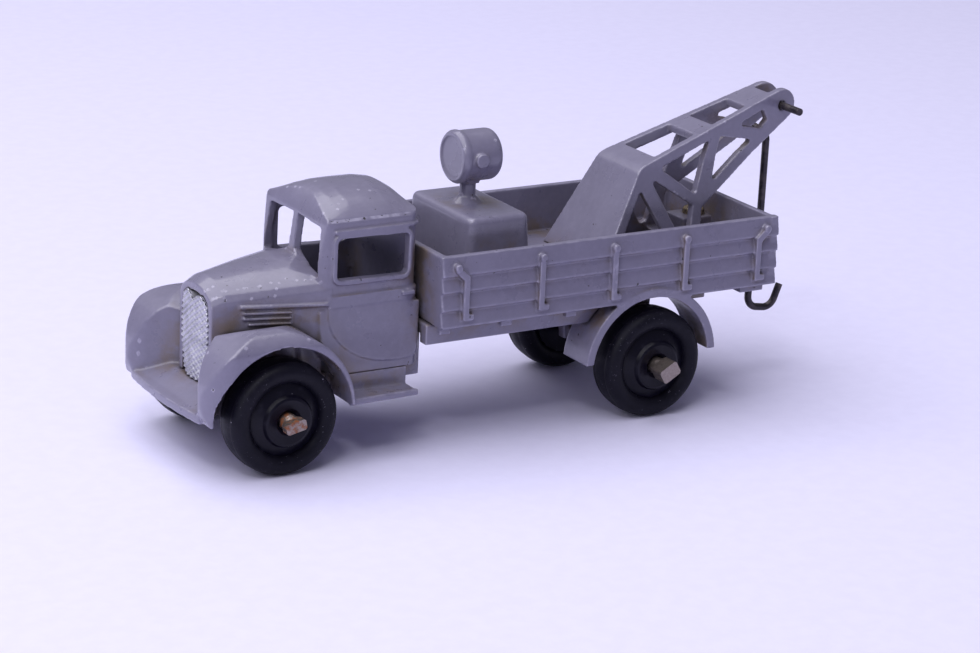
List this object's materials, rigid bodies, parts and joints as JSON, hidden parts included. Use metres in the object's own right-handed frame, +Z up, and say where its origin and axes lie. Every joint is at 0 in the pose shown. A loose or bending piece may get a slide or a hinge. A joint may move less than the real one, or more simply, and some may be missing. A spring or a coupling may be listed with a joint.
{
  "type": "toy tow truck",
  "caption": "Die-cast toy tow truck with a planked flat bed, searchlight box, lattice jib and a swinging wire hook, rolling on rubber tyres.",
  "frame": {"origin": "on the ground, in the middle of the truck's overall length and width", "axes": "+X to the front of the truck, +Y to its left side, +Z up"},
  "size_m": [0.096, 0.0336, 0.0397],
  "materials": {
    "grey_enamel": "semi-gloss thick grey enamel, chipped and dusty",
    "silver_metal": "bare bright metal",
    "steel_wire": "dark drawn wire",
    "axle_steel": "bare steel with light rust",
    "rivet_metal": "dull, scuffed",
    "black_hub": "gloss black enamel on the hub",
    "tyre_rubber": "dusty black rubber"
  },
  "bodies": {
    "truck_body": {"chassis": "grey_enamel", "cab": "grey_enamel", "grille": "silver_metal", "bed": "grey_enamel", "lamp_box": "grey_enamel", "jib": "grey_enamel", "cab_rivets": "rivet_metal", "bed_rivets": "rivet_metal", "jib_rivets": "rivet_metal"},
    "front_axle": {"front_axle": "axle_steel"},
    "rear_axle": {"rear_axle": "axle_steel"},
    "hook": {"hook": "steel_wire"},
    "front_left_wheel": {"hub_front_left": "black_hub", "tyre_front_left": "tyre_rubber"},
    "front_right_wheel": {"hub_front_right": "black_hub", "tyre_front_right": "tyre_rubber"},
    "rear_left_wheel": {"hub_rear_left": "black_hub", "tyre_rear_left": "tyre_rubber"},
    "rear_right_wheel": {"hub_rear_right": "black_hub", "tyre_rear_right": "tyre_rubber"}
  },
  "joints": [
    {"name": "front_axle_turn", "type": "hinge", "parent": "truck_body", "child": "front_axle", "pos_m": [0.0367, 0, 0.0073], "axis": [0, 1, 0], "continuous": true},
    {"name": "rear_axle_turn", "type": "hinge", "parent": "truck_body", "child": "rear_axle", "pos_m": [-0.0175, 0, 0.0073], "axis": [0, 1, 0], "continuous": true},
    {"name": "front_left_wheel_turn", "type": "hinge", "parent": "front_axle", "child": "front_left_wheel", "pos_m": [0.0367, 0.0115, 0.0073], "axis": [0, 1, 0], "continuous": true},
    {"name": "front_right_wheel_turn", "type": "hinge", "parent": "front_axle", "child": "front_right_wheel", "pos_m": [0.0367, -0.0115, 0.0073], "axis": [0, 1, 0], "continuous": true},
    {"name": "rear_left_wheel_turn", "type": "hinge", "parent": "rear_axle", "child": "rear_left_wheel", "pos_m": [-0.0175, 0.0115, 0.0073], "axis": [0, 1, 0], "continuous": true},
    {"name": "rear_right_wheel_turn", "type": "hinge", "parent": "rear_axle", "child": "rear_right_wheel", "pos_m": [-0.0175, -0.0115, 0.0073], "axis": [0, 1, 0], "continuous": true},
    {"name": "hook_swing", "type": "hinge", "parent": "truck_body", "child": "hook", "pos_m": [-0.04295, 0, 0.0375], "axis": [0, 1, 0], "range_deg": [-10, 200]}
  ]
}
